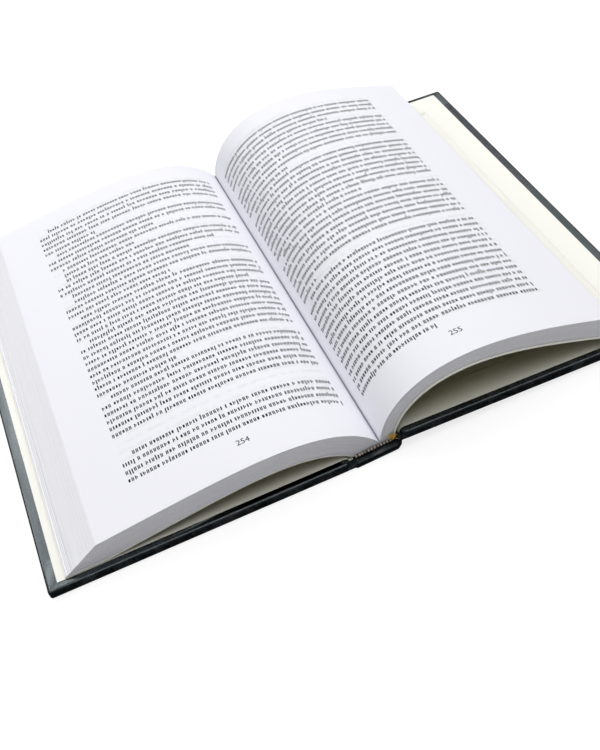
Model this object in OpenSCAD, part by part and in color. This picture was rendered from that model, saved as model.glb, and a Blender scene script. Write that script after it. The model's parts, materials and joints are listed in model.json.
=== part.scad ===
// Case-bound hardback book, lying open on its back near the middle of its leaves.
// X runs across the spread, Y from tail to head, Z up from the surface it lies on.

/* [Page block] */
// Width of a leaf from its fold to the fore edge
page_w = 120.5; // [112:0.5:130]
// Height of a leaf from tail to head
page_h = 200; // [160:1:240]
// Width of the flat spine face, which is the thickness of the closed block
spine_face_w = 17; // [15:0.5:18]
// Rise of the gutter above the spine face
gutter_rise = 1.4; // [1.2:0.1:3]
// Distance of the opened gutter from the middle of the spine
gutter_x = 3; // [0:0.1:3.5]
// Thickness of a free endpaper
flyleaf_t = 0.3; // [0.2:0.05:0.4]
// Length of one flat facet along a bent leaf
leaf_step = 1.5; // [1:0.25:3]

/* [Leaf bend] */
// How abruptly a bent leaf straightens, for all leaves
bend_sharpness = 1.3; // [1.2:0.05:1.5]
// Start angle of the front half's top leaf
front_top_rise_angle = 55; // [50:1:60]
// Final droop of the front half's top leaf
front_top_droop_angle = 8.3; // [7:0.1:10]
// Length in which the front half's top leaf unbends
front_top_reach = 28.8; // [27:0.1:31]
// Start angle of the front half's lowest leaf
front_low_rise_angle = 40.8; // [36:0.1:44]
// Final droop of the front half's lowest leaf
front_low_droop_angle = 9.4; // [8:0.1:11]
// Length in which the front half's lowest leaf unbends
front_low_reach = 23.5; // [21:0.1:25]
// Start angle of the back half's top leaf
back_top_rise_angle = 79.3; // [76:0.1:82]
// Final droop of the back half's top leaf
back_top_droop_angle = 22.1; // [20:0.1:24]
// Length in which the back half's top leaf unbends
back_top_reach = 40.7; // [39:0.1:43]
// Start angle of the back half's lowest leaf
back_low_rise_angle = 78.4; // [75:0.1:81]
// Final droop of the back half's lowest leaf
back_low_droop_angle = 22.8; // [21:0.1:25]
// Length in which the back half's lowest leaf unbends
back_low_reach = 33.2; // [31:0.1:35]

/* [Case] */
// Overhang of the boards past the leaves at head and tail
square_w = 3.4; // [2:0.1:5]
// Width of a cover beyond the width of a leaf
fore_extra = 1.9; // [1:0.1:5]
// Thickness of a greyboard
board_t = 3.2; // [2:0.1:4]
// Thickness of the leatherette covering
covering_t = 0.6; // [0.4:0.05:0.8]
// Radius of the padded edges of a cover
edge_r = 1.6; // [0.8:0.1:2]
// Width of the covering turned in over the boards
turn_in = 15; // [10:1:20]
// Width of turn-in left bare by a pastedown at the fore edge
bare_fore = 4.4; // [3:0.1:6]
// Width of turn-in left bare by a pastedown at head and tail
bare_end = 3; // [2:0.1:5]
// Thickness of a pastedown
pastedown_t = 0.2; // [0.15:0.05:0.3]
// Radius of the covering bunched up at the ends of a joint
bunch_r = 1.5; // [1:0.1:1.7]
// Depth of the seam at a mitred corner
seam_d = 0.25; // [0.1:0.05:0.4]
// Width of the seam at a mitred corner
seam_w = 0.2; // [0.1:0.05:0.3]

/* [Spine and joints] */
// Thickness of the card inlay in the spine
inlay_t = 1.4; // [1:0.1:2]
// Width of the card inlay in the spine
inlay_w = 16.4; // [15:0.1:16.8]
// Distance from the middle of the spine to the line on which a cover turns
hinge_x = 12.1; // [12:0.1:13]
// Width of the thin covering between that line and a cover
joint_w = 0.8; // [0.8:0.1:1.5]
// Depth of the groove between the spine and a cover
groove_d = 0.8; // [0.6:0.05:1]
// Height of the back cover's joint above the table
back_lift = 5.5; // [5:0.1:5.8]
// Width of the covering's slope between the spine and the back cover's joint
shoulder_w = 1.5; // [1:0.1:1.6]
// Width of the steeper part above that slope
wall_step = 0.2; // [0.1:0.1:0.3]
// Lean of the spine, which the fuller back half pulls up at its side
spine_lean = 3.4; // [2.5:0.1:4]
// Thickness of the paper lining glued on the spine
lining_t = 0.3; // [0.2:0.05:0.5]
// Thickness of the mull, the open cloth glued on the spine
mull_t = 0.2; // [0.1:0.05:0.3]
// Width of the mull glued under a pastedown
mull_flange_w = 25; // [15:1:35]
// Distance of the mull from head and tail
mull_inset = 15; // [13:1:20]
// Radius of the bead of a head or tail band
band_r = 0.7; // [0.5:0.05:0.9]
// Length of the tape of a head or tail band along the spine
band_tape = 12; // [8:1:12]
// Length of the tail band's turned-up end
band_tip = 4.6; // [3:0.1:5]
// Slant of the tail band's turned-up end
tip_lean = 26; // [15:1:30]

/* [Fits] */
// Gap between pieces that lie loosely on each other
rest_gap = 0.3; // [0.25:0.05:0.4]
// Gap between the spine's turn-in and its lining
spine_gap = 0.3; // [0.2:0.05:0.5]
// Gap between the edges of glued sheets
sheet_gap = 0.1; // [0.05:0.05:0.2]

/* [Hidden] */
$fn = 48;

// Length by which a cutting shape runs past what it cuts
over = 1;
paper = [0.93, 0.93, 0.95];
cream = [0.93, 0.93, 0.87];
leatherette = [0.12, 0.15, 0.17];
greyboard = [0.52, 0.50, 0.46];
card = [0.66, 0.60, 0.50];
gauze = [0.86, 0.84, 0.76];
gold = [0.72, 0.56, 0.24];

// Stack of layers under the block, from the spine's outer face up
spine_half = inlay_w / 2 + joint_w;
inlay_top = covering_t + inlay_t;
lining_z = inlay_top + covering_t + spine_gap;
mull_z = lining_z + lining_t;
spine_z = mull_z + mull_t;

// A cover in its own frame: x out from the line it turns on, z up from that line
cover_w = page_w + fore_extra;
cover_h = page_h + 2 * square_w;
cover_t = board_t + 2 * covering_t;
under_z = -groove_d;
board_x = joint_w + covering_t;
board_z = under_z + covering_t;
board_top = board_z + board_t;
cover_top = under_z + cover_t;
board_w = cover_w - covering_t - board_x;
board_h = cover_h - 2 * covering_t;
window_w = cover_w - turn_in;
window_h = cover_h - 2 * turn_in;
bunch_x = joint_w + 1.2 * bunch_r;
bunch_z = cover_top - 0.6 * bunch_r;

// The front cover lies flat; the back cover slopes from its lifted joint to the table
front_tilt = 0;
back_tilt = asin(back_lift / norm([cover_w, groove_d])) - atan(groove_d / cover_w);

// Values of one side of the book: side, height of the joint, slope of the cover
FRONT = [-1, groove_d, front_tilt];
BACK = [1, back_lift, back_tilt];

leaf_n = ceil(page_w / leaf_step);
leaf_ds = page_w / leaf_n;

// A point of the spine, which leans about its edge next to the front cover
function leaning(x, z) = [-spine_half, 0] + [(x + spine_half) * cos(spine_lean) - z * sin(spine_lean),
  (x + spine_half) * sin(spine_lean) + z * cos(spine_lean)];

function unit(v) = v / norm(v);
function left_of(v) = [-v[1], v[0]];
function mitre(a, b) = (a + b) / (1 + a * b);
function reversed(list) = [for (i = [len(list) - 1 : -1 : 0]) list[i]];
function part_of(list, from) = [for (i = [from : len(list) - 1]) list[i]];

// A path moved sideways by d, to its left where d is positive
function offset_path(path, d) = let (n = len(path) - 1) [for (i = [0 : n]) let (
    before = left_of(unit(path[max(i, 1)] - path[max(i, 1) - 1])),
    after = left_of(unit(path[min(i, n - 1) + 1] - path[min(i, n - 1)])))
  path[i] + d * mitre(before, after)];

// The outline of a sheet of thickness t that lies along a path
function sheet_outline(path, t) = concat(path, reversed(offset_path(path, t)));

// Height of the pastedown's upper face at x, which a leaf may not pass
function cover_face(side, x) = let (top = cover_top + pastedown_t, tilt = side[2],
    along = (abs(x) - hinge_x - top * sin(tilt)) / cos(tilt))
  side[1] - along * sin(tilt) + top * cos(tilt);

// A leaf rises from its fold and bends over until it slopes down to the fore edge
function leaf_angle(s, rise, droop, reach) =
  (rise + droop) * exp(-pow(s / reach, bend_sharpness)) - droop;
function free_leaf(start, side, rise, droop, reach) = [for (i = 0, p = start; i <= leaf_n;
    p = p + leaf_ds * [side[0] * cos(leaf_angle((i + 0.5) * leaf_ds, rise, droop, reach)),
      sin(leaf_angle((i + 0.5) * leaf_ds, rise, droop, reach))],
    i = i + 1) p];
// Its outer half rests on the cover where it would sink lower
function leaf(start, side, rise, droop, reach) =
  let (free = free_leaf(start, side, rise, droop, reach)) [for (i = [0 : leaf_n])
    i < leaf_n / 2 ? free[i] : [free[i][0], max(free[i][1], cover_face(side, free[i][0]) + rest_gap)]];

gutter = leaning(gutter_x, spine_z + gutter_rise);
front_top = leaf(gutter, FRONT, front_top_rise_angle, front_top_droop_angle, front_top_reach);
back_top = leaf(gutter, BACK, back_top_rise_angle, back_top_droop_angle, back_top_reach);
front_low = leaf(leaning(-spine_face_w / 2, spine_z), FRONT,
  front_low_rise_angle, front_low_droop_angle, front_low_reach);
back_low = leaf(leaning(spine_face_w / 2, spine_z), BACK,
  back_low_rise_angle, back_low_droop_angle, back_low_reach);
// The upper faces of the free endpapers, which start as a feathered edge at the spine
front_fly_top = concat([front_low[0]], part_of(offset_path(front_low, -flyleaf_t), 1));
back_fly_top = concat([back_low[0]], part_of(offset_path(back_low, flyleaf_t), 1));

// The covering's outer face round the spine, from the front joint to the back joint
shoulder_x = spine_half + shoulder_w;
shoulder_z = 0.6 * back_lift;
wall_x = shoulder_x + wall_step;
spine_path = [[-hinge_x, groove_d], [-spine_half - covering_t, groove_d], leaning(-spine_half, 0),
  leaning(spine_half, 0), [shoulder_x, shoulder_z], [wall_x, back_lift], [hinge_x, back_lift]];

// Sweeps an outline of x and z along the height of the book
module along_y(length) {
  rotate([90, 0, 0]) linear_extrude(length, center = true) children();
}

module rounded_slab(x0, z0, x1, z1, r) {
  translate([x0, z0]) square([x1 - r - x0, z1 - z0]);
  translate([x0, z0 + r]) square([x1 - x0, z1 - z0 - 2 * r]);
  for (z = [z0 + r, z1 - r]) translate([x1 - r, z]) circle(r);
}

module box_between(low, high) {
  translate(low) cube(high - low);
}

module on_spine() {
  translate([-spine_half, 0, 0]) rotate([0, -spine_lean, 0]) translate([spine_half, 0, 0]) children();
}

module on_front() {
  translate([-hinge_x, 0, FRONT[1]]) mirror([1, 0, 0]) rotate([0, FRONT[2], 0]) children();
}

module on_back() {
  translate([hinge_x, 0, BACK[1]]) rotate([0, BACK[2], 0]) children();
}

// Page block, one solid
module text_block() {
  color(paper) along_y(page_h) polygon(concat(reversed(front_top), part_of(back_top, 1),
    reversed(back_fly_top), front_fly_top));
}

// Free endpapers, glued along the spine edge of the block
module flyleaf(low, top) {
  color(cream) along_y(page_h) polygon(concat(low, reversed(part_of(top, 1))));
}

module front_flyleaf() {
  flyleaf(front_low, front_fly_top);
}

module back_flyleaf() {
  flyleaf(back_low, back_fly_top);
}

// Head and tail bands: a corded bead on a tape glued to the spine
module band_body() {
  bead_y = page_h / 2 + band_r;
  bead_w = spine_face_w - 2 * rest_gap;
  translate([-bead_w / 2, bead_y, mull_z + band_r]) rotate([0, 90, 0]) cylinder(h = bead_w, r = band_r);
  box_between([-bead_w / 2, page_h / 2 - band_tape, mull_z], [bead_w / 2, bead_y, spine_z]);
}

module head_band() {
  color(gold) on_spine() band_body();
}

module tail_band() {
  tip_start = [spine_face_w / 2 - band_r - rest_gap, -page_h / 2 - band_r, mull_z + band_r];
  color(gold) on_spine() {
    mirror([0, 1, 0]) band_body();
    translate(tip_start) rotate([0, tip_lean, 0]) {
      cylinder(h = band_tip, r = band_r);
      translate([0, 0, band_tip]) sphere(band_r);
    }
  }
}

// Open cloth on the spine, with a flange glued under each pastedown
module mull() {
  color(gauze) on_spine() box_between([-spine_face_w / 2, -page_h / 2 + mull_inset, mull_z],
    [spine_face_w / 2, page_h / 2 - mull_inset, spine_z]);
}

module mull_flange_shape(below = 0) {
  box_between([board_x, -page_h / 2 + mull_inset, board_top - below],
    [board_x + mull_flange_w, page_h / 2 - mull_inset, board_top + mull_t]);
}

module front_mull_flange() {
  color(gauze) on_front() mull_flange_shape();
}

module back_mull_flange() {
  color(gauze) on_back() mull_flange_shape();
}

// Paper lining over the mull
module spine_lining() {
  color(card) on_spine() box_between([-inlay_w / 2, -page_h / 2 + sheet_gap, lining_z],
    [inlay_w / 2, page_h / 2 - sheet_gap, mull_z]);
}

// Card that stiffens the spine of the case
module inlay_shape() {
  on_spine() box_between([-inlay_w / 2, -board_h / 2, covering_t], [inlay_w / 2, board_h / 2, inlay_top]);
}

module spine_inlay() {
  color(card) inlay_shape();
}

// Covering over the spine and both joints, doubled by the turn-in at head and tail
module spine_covering() {
  wrap_w = inlay_w + 2 * covering_t;
  color(leatherette) difference() {
    union() {
      along_y(cover_h) polygon(sheet_outline(spine_path, covering_t));
      for (end = [-1, 1]) translate([0, end * (cover_h - turn_in) / 2, 0]) along_y(turn_in) {
        polygon(sheet_outline(spine_path, 2 * covering_t));
        polygon([leaning(-wrap_w / 2, covering_t / 2), leaning(wrap_w / 2, covering_t / 2),
          leaning(wrap_w / 2, inlay_top + covering_t), leaning(-wrap_w / 2, inlay_top + covering_t)]);
      }
    }
    inlay_shape();
  }
}

// Greyboard of a cover
module board_shape() {
  box_between([board_x, -board_h / 2, board_z], [board_x + board_w, board_h / 2, board_top]);
}

module front_board() {
  color(greyboard) on_front() board_shape();
}

module back_board() {
  color(greyboard) on_back() board_shape();
}

// Covering of a cover: wrapped round three edges of the board, turned in and mitred
module covering_slab() {
  intersection() {
    along_y(cover_h + 2 * over) {
      square([board_x, 2 * covering_t]);
      rounded_slab(joint_w, under_z, cover_w, cover_top, edge_r);
    }
    translate([-over, 0, 0]) rotate([90, 0, 90]) linear_extrude(cover_w + 2 * over) {
      rounded_slab(0, under_z, cover_h / 2, cover_top, edge_r);
      mirror([1, 0]) rounded_slab(0, under_z, cover_h / 2, cover_top, edge_r);
    }
  }
}

// The covering bunches into a rounded lump where the turn-in enters the joint
module joint_bunches() {
  for (end = [-1, 1]) translate([bunch_x, end * (cover_h / 2 - 1.2 * bunch_r), bunch_z]) {
    sphere(bunch_r);
    rotate([end * 90, 0, 0]) cylinder(h = turn_in, r = bunch_r);
  }
}

module corner_seams() {
  from = norm([edge_r + seam_w, edge_r + seam_w]);
  to = norm([turn_in, turn_in]) + over;
  for (end = [-1, 1]) translate([cover_w, end * cover_h / 2, cover_top]) rotate([0, 0, end * 45 + 180])
    box_between([from, -seam_w / 2, -seam_d], [to, seam_w / 2, seam_d]);
}

module covering_shape() {
  difference() {
    union() {
      covering_slab();
      joint_bunches();
    }
    board_shape();
    along_y(window_h) polygon([[-over, covering_t], [board_x, covering_t], [board_x, board_top],
      [window_w, board_top], [window_w, cover_top + bunch_r], [-over, cover_top + bunch_r]]);
    corner_seams();
  }
}

module front_covering() {
  color(leatherette) on_front() covering_shape();
}

module back_covering() {
  color(leatherette) on_back() covering_shape();
}

// Pastedown: glued over the turn-ins and the mull, and down into the joint
module pastedown_shape() {
  t = pastedown_t;
  inner_x = bunch_x + bunch_r + rest_gap;
  outer_x = cover_w - bare_fore;
  half_h = cover_h / 2 - bare_end;
  half_window = window_h / 2;
  top = cover_top + t;
  joint_h = page_h - 2 * (mull_inset - t);
  mull_x = board_x + mull_flange_w + t;
  over_mull = board_top + mull_t + t;
  difference() {
    union() {
      difference() {
        box_between([inner_x, -half_h, board_top], [outer_x, half_h, top]);
        box_between([window_w, -half_h - over, board_top - over], [outer_x + over, half_h + over, cover_top]);
        for (end = [-1, 1]) translate([inner_x - over, end * (half_window + turn_in / 2), 0])
          along_y(turn_in) translate([0, cover_top - turn_in]) square([cover_w, turn_in]);
        box_between([inner_x - over, t - half_window, board_top + t],
          [window_w - t, half_window - t, top + over]);
      }
      along_y(joint_h) polygon([[sheet_gap, covering_t], [board_x, covering_t], [board_x, board_top],
        [mull_x, board_top], [mull_x, over_mull], [board_x - t, over_mull], [board_x - t, covering_t + t],
        [sheet_gap, covering_t + t]]);
    }
    mull_flange_shape(board_t / 2);
  }
}

module front_pastedown() {
  color(cream) on_front() pastedown_shape();
}

module back_pastedown() {
  color(cream) on_back() pastedown_shape();
}

text_block();
front_flyleaf();
back_flyleaf();
head_band();
tail_band();
mull();
spine_lining();
spine_inlay();
spine_covering();
front_board();
front_covering();
front_pastedown();
front_mull_flange();
back_board();
back_covering();
back_pastedown();
back_mull_flange();
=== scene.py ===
import json
import math
import random

import bmesh
import bpy
from mathutils import Matrix, Vector


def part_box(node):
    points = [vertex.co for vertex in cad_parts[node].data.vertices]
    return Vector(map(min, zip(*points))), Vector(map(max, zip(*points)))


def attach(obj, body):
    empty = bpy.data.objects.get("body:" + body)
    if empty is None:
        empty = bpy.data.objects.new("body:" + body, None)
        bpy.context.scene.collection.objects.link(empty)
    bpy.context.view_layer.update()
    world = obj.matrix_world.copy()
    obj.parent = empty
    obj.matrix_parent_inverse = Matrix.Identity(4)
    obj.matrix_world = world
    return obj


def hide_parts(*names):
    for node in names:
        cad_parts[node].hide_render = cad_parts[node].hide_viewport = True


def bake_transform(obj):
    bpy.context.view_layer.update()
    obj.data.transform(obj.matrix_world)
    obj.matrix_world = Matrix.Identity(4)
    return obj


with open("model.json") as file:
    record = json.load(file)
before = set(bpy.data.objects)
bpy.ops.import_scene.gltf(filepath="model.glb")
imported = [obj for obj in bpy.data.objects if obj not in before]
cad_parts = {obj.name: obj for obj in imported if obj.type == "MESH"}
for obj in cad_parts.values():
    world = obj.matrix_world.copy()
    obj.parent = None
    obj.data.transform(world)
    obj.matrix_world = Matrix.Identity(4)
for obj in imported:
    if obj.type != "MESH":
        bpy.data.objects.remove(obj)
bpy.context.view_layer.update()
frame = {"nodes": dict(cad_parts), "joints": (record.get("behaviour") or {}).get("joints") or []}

# Lengths below are millimetres and angles degrees; each piece is scaled to metres when its mesh is done
toMetres = 0.001
sides = {"front": -1, "back": 1}

# The case and the way the leaves bend, as the part's source has them
book = {
    "pageWidth": 120.5,
    "pageHalf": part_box("text_block")[1].y / toMetres,
    "coverHalf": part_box("spine_covering")[1].y / toMetres,
    "spineHalf": 9.0,
    "spineLean": 3.4,
    "spineFace": 17.0,
    "spineTop": 3.4,
    "gutter": (3.0, 4.8),
    "flyleafThickness": 0.3,
    "restGap": 0.3,
    "leafSteps": 160,
    "sharpness": 1.3,
    "leastThickness": 0.5,
    "bends": {
        "front": {"top": (55, 8.3, 28.8), "low": (40.8, 9.4, 23.5)},
        "back": {"top": (79.3, 22.1, 40.7), "low": (78.4, 22.8, 33.2)},
    },
}

# A cover in its own frame: x out from the line it turns on, z up from that line
cover = {
    "width": 122.4,
    "under": -0.8,
    "boardTop": 3.0,
    "top": 3.6,
    "pastedown": 0.2,
    "jointWidth": 0.8,
    "cloth": 0.6,
    "turnIn": 15.0,
    "edgeRadius": 1.6,
    "hinges": {
        j["child"].split("_")[0]: (abs(j["pos_m"][0]) / toMetres, j["pos_m"][2] / toMetres)
        for j in frame["joints"]
    },
}
# The window inside the turn-ins: half its height, and where it ends towards the fore edge
cover["window"] = book["coverHalf"] - cover["turnIn"]
cover["windowEnd"] = cover["width"] - cover["turnIn"]


def lerp(a, b, share):
    return a + (b - a) * share


def smoothStep(low, high, value):
    share = min(max((value - low) / (high - low), 0.0), 1.0)
    return share * share * (3 - 2 * share)


def coverTilt(side):
    if side == "front":
        return 0.0
    lift = cover["hinges"][side][1]
    groove = -cover["under"]
    return math.asin(lift / math.hypot(cover["width"], groove)) - math.atan(groove / cover["width"])


def onCover(side, x, y, z):
    # A place in the cover's own frame, moved to the book's frame
    hingeX, hingeZ = cover["hinges"][side]
    tilt = coverTilt(side)
    along = hingeX + x * math.cos(tilt) + z * math.sin(tilt)
    return Vector((sides[side] * along, y, hingeZ - x * math.sin(tilt) + z * math.cos(tilt)))


def leaning(x, z):
    # A place on the spine, which leans about its edge next to the front cover
    lean = math.radians(book["spineLean"])
    out = x + book["spineHalf"]
    return Vector((
        -book["spineHalf"] + out * math.cos(lean) - z * math.sin(lean),
        out * math.sin(lean) + z * math.cos(lean),
    ))


def pastedownHeight(side, x):
    # Height of the pastedown's face, which a leaf may not pass
    hingeX, hingeZ = cover["hinges"][side]
    tilt = coverTilt(side)
    face = cover["top"] + cover["pastedown"]
    along = (abs(x) - hingeX - face * math.sin(tilt)) / math.cos(tilt)
    return hingeZ - along * math.sin(tilt) + face * math.cos(tilt)


def leafCurve(side, start, bend):
    rise, droop, reach = bend
    steps = book["leafSteps"]
    step = book["pageWidth"] / steps
    points = [Vector(start)]
    for i in range(steps):
        turned = math.exp(-(((i + 0.5) * step / reach) ** book["sharpness"]))
        angle = math.radians((rise + droop) * turned - droop)
        points.append(points[-1] + Vector((sides[side] * math.cos(angle), math.sin(angle))) * step)
    for i, point in enumerate(points):
        if i >= steps / 2:
            point.y = max(point.y, pastedownHeight(side, point.x) + book["restGap"])
    return points


def raisedCurve(side, points, height):
    # The curve moved up at right angles to itself, from the same start
    moved = [points[0].copy()]
    for i in range(1, len(points)):
        ahead = points[min(i + 1, len(points) - 1)] - points[i - 1]
        across = Vector((-ahead.y, ahead.x)).normalized() * sides[side]
        moved.append(points[i] + across * height)
    return moved


def blockCurves(side):
    bends = book["bends"][side]
    corner = leaning(sides[side] * book["spineFace"] / 2, book["spineTop"])
    low = leafCurve(side, corner, bends["low"])
    return {
        "low": low,
        "fly": raisedCurve(side, low, book["flyleafThickness"]),
        "top": leafCurve(side, leaning(*book["gutter"]), bends["top"]),
    }


curves = {side: blockCurves(side) for side in sides}


def onLeaf(side, between, along, y, share, lift=0.0):
    # A place on a leaf that lies between two curves of the block, by its distance along the leaf
    low, high = (curves[side][name] for name in between)
    steps = book["leafSteps"]
    place = along / book["pageWidth"] * steps
    i = int(min(max(place, 0), steps - 1))
    start = lerp(low[i], high[i], share)
    end = lerp(low[i + 1], high[i + 1], share)
    point = lerp(start, end, max(place - i, 0.0))
    ahead = (end - start).normalized()
    point += Vector((-ahead.y, ahead.x)) * sides[side] * lift
    if place < 0:  # behind the fold, straight down to the spine face
        footX = lerp(sides[side] * book["spineFace"] / 2, book["gutter"][0], share)
        point = lerp(point, leaning(footX, book["spineTop"]), min(-place, 1.0))
    return Vector((point.x, y, point.y))


def gapWidth(side, along):
    # Thickness of that half of the block
    low, high = curves[side]["fly"], curves[side]["top"]
    i = int(min(max(along / book["pageWidth"], 0), 1) * book["leafSteps"])
    return max((high[i] - low[i]).length, book["leastThickness"])


print("curves of the block worked out")


# Nodes and materials

def feed(tree, socket, value):
    # Links another node's socket, or sets a plain value
    if isinstance(value, bpy.types.NodeSocket):
        tree.links.new(value, socket)
    elif socket.type == "RGBA":
        socket.default_value = (*value, 1.0)
    else:
        socket.default_value = value


def addNode(tree, kind, inputs=(), **settings):
    made = tree.nodes.new(kind)
    for name, value in settings.items():
        setattr(made, name, value)
    for name, value in dict(inputs).items():
        feed(tree, made.inputs[name], value)
    return made


def mathNode(tree, operation, a, b=0.0):
    return addNode(tree, "ShaderNodeMath", {0: a, 1: b}, operation=operation).outputs[0]


def times(tree, a, b):
    return mathNode(tree, "MULTIPLY", a, b)


def isNear(tree, value, middle, reach):
    # 1 where the value is within reach of the middle, else 0
    away = mathNode(tree, "ABSOLUTE", mathNode(tree, "SUBTRACT", value, middle))
    return mathNode(tree, "LESS_THAN", away, reach)


def weighed(tree, first, share, second):
    # The first value by its share and the second by the rest
    return mathNode(tree, "ADD", times(tree, first, share), times(tree, second, 1.0 - share))


def noiseNode(tree, vector, scale, detail=3.0, roughness=0.5):
    inputs = {"Vector": vector, "Scale": scale, "Detail": detail, "Roughness": roughness}
    return addNode(tree, "ShaderNodeTexNoise", inputs).outputs["Fac"]


def stretched(tree, vector, scale):
    return addNode(tree, "ShaderNodeMapping", {"Vector": vector, "Scale": scale}).outputs["Vector"]


def mapped(tree, value, fromLow, fromHigh, toLow=0.0, toHigh=1.0):
    inputs = {"Value": value, "From Min": fromLow, "From Max": fromHigh, "To Min": toLow, "To Max": toHigh}
    return addNode(tree, "ShaderNodeMapRange", inputs).outputs["Result"]


def mixColour(tree, share, first, second):
    # Inputs 6 and 7 are the colours and output 2 the mixed one
    made = addNode(tree, "ShaderNodeMix", {"Factor": share, 6: first, 7: second}, data_type="RGBA")
    return made.outputs[2]


def newGroup(name, inputs, outputs):
    group = bpy.data.node_groups.new(name, "ShaderNodeTree")
    for socketName, kind, value in inputs:
        socket = group.interface.new_socket(socketName, in_out="INPUT", socket_type=kind)
        if value is not None:
            socket.default_value = value
    for socketName, kind in outputs:
        group.interface.new_socket(socketName, in_out="OUTPUT", socket_type=kind)
    start = group.nodes.new("NodeGroupInput")
    end = group.nodes.new("NodeGroupOutput")
    return group, start.outputs, end.inputs


def groupNode(tree, group, inputs):
    return addNode(tree, "ShaderNodeGroup", inputs, node_tree=group).outputs


def makeFibreGroup():
    # Mottled fibres of uncoated paper: a fine height and a slow change of tone
    group, start, end = newGroup(
        "paperFibres",
        [("Vector", "NodeSocketVector", None), ("Fibre Scale", "NodeSocketFloat", 900.0),
         ("Cloud Scale", "NodeSocketFloat", 14.0)],
        [("Height", "NodeSocketFloat"), ("Tone", "NodeSocketFloat")],
    )
    fine = noiseNode(group, start["Vector"], start["Fibre Scale"], 4.0, 0.6)
    cloud = noiseNode(group, start["Vector"], start["Cloud Scale"], 2.0, 0.5)
    group.links.new(fine, end["Height"])
    group.links.new(weighed(group, fine, 0.35, cloud), end["Tone"])
    return group


def makeLeafLineGroup():
    # Hair lines of single leaves along a cut edge; z of the vector counts packets of leaves
    group, start, end = newGroup(
        "leafLines",
        [("Vector", "NodeSocketVector", None), ("Leaves", "NodeSocketFloat", 5.0),
         ("Run", "NodeSocketFloat", 0.02)],
        [("Height", "NodeSocketFloat"), ("Tone", "NodeSocketFloat")],
    )
    split = addNode(group, "ShaderNodeSeparateXYZ", {"Vector": start["Vector"]}).outputs
    scales = {"X": start["Run"], "Y": start["Run"], "Z": start["Leaves"]}
    scaled = {axis: times(group, split[axis], scale) for axis, scale in scales.items()}
    flat = addNode(group, "ShaderNodeCombineXYZ", scaled).outputs["Vector"]
    lines = noiseNode(group, flat, 1.6, 3.0, 0.7)
    slow = noiseNode(group, flat, 0.35, 2.0, 0.5)
    group.links.new(lines, end["Height"])
    group.links.new(weighed(group, lines, 0.6, slow), end["Tone"])
    return group


def makeGrainGroup():
    # Embossed grain of leatherette: small cells, with streaks where it was drawn over the board
    group, start, end = newGroup(
        "leatherGrain",
        [("Vector", "NodeSocketVector", None), ("Cell Scale", "NodeSocketFloat", 3200.0),
         ("Streak Scale", "NodeSocketFloat", 220.0)],
        [("Height", "NodeSocketFloat"), ("Streaks", "NodeSocketFloat")],
    )
    wobble = noiseNode(group, start["Vector"], 900.0, 3.0, 0.6)
    cells = addNode(group, "ShaderNodeTexVoronoi", {
        "Vector": start["Vector"], "Scale": start["Cell Scale"], "Randomness": 1.0,
    }, feature="DISTANCE_TO_EDGE").outputs["Distance"]
    pebble = times(group, mapped(group, cells, 0.0, 0.25), 0.7)
    drawn = stretched(group, start["Vector"], (1.0, 0.09, 1.0))
    streaks = noiseNode(group, drawn, start["Streak Scale"], 5.0, 0.65)
    group.links.new(streaks, end["Streaks"])
    relief = mathNode(group, "ADD", pebble, times(group, wobble, 0.6))
    group.links.new(mathNode(group, "ADD", relief, times(group, streaks, 3.0)), end["Height"])
    return group


groups = {"fibres": makeFibreGroup(), "lines": makeLeafLineGroup(), "grain": makeGrainGroup()}


def startMaterial(name, roughness, specular=0.5):
    material = bpy.data.materials.new(name)
    material.use_nodes = True
    tree = material.node_tree
    shader = tree.nodes["Principled BSDF"]
    shader.inputs["Roughness"].default_value = roughness
    shader.inputs["Specular IOR Level"].default_value = specular
    return material, tree, shader


def objectPlace(tree):
    return addNode(tree, "ShaderNodeTexCoord").outputs["Object"]


def paint(tree, shader, colour):
    tree.links.new(colour, shader.inputs["Base Color"])


def addBump(tree, shader, height, strength, distance):
    bump = addNode(tree, "ShaderNodeBump", {"Height": height, "Strength": strength, "Distance": distance})
    tree.links.new(bump.outputs["Normal"], shader.inputs["Normal"])


pageColours = {
    "sheet": (0.85, 0.85, 0.90),
    "shade": (0.82, 0.82, 0.865),
    "ghost": (0.70, 0.73, 0.72),
    # Painted shade in the gutter fold
    "fold": (0.36, 0.35, 0.41),
    "ink": (0.012, 0.012, 0.015),
    "inkFaded": (0.0384, 0.0384, 0.048),
    "edge": (0.92, 0.92, 0.97),
    "edgeShade": (0.79, 0.79, 0.84),
    "foreEdge": (0.89, 0.89, 0.92),
    "foreEdgeShade": (0.80, 0.80, 0.835),
    "cream": (0.875, 0.875, 0.825),
    "creamShade": (0.85, 0.845, 0.785),
    # Painted shade under the leaves, on the endpapers and flyleaves
    "paintedShadeUnderLeaves": (0.61, 0.59, 0.47),
}


ghostPrint = {
    # Lines to the height of a page, half a line in pitches, and the size and share of its words
    "lines": 200.0 / 4.043,
    "lineHalf": 0.2,
    "wordScale": (55.0, 49.5, 1.0),
    "wordRange": (0.42, 0.55),
    "strength": 0.42,
    # Middle and half size of the printed field, as shares of the page
    "field": {"X": (0.46, 0.375), "Y": (0.52, 0.425)},
    # Width of the painted shade along the fold, in millimetres
    "foldWidth": 1.3,
}


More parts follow.
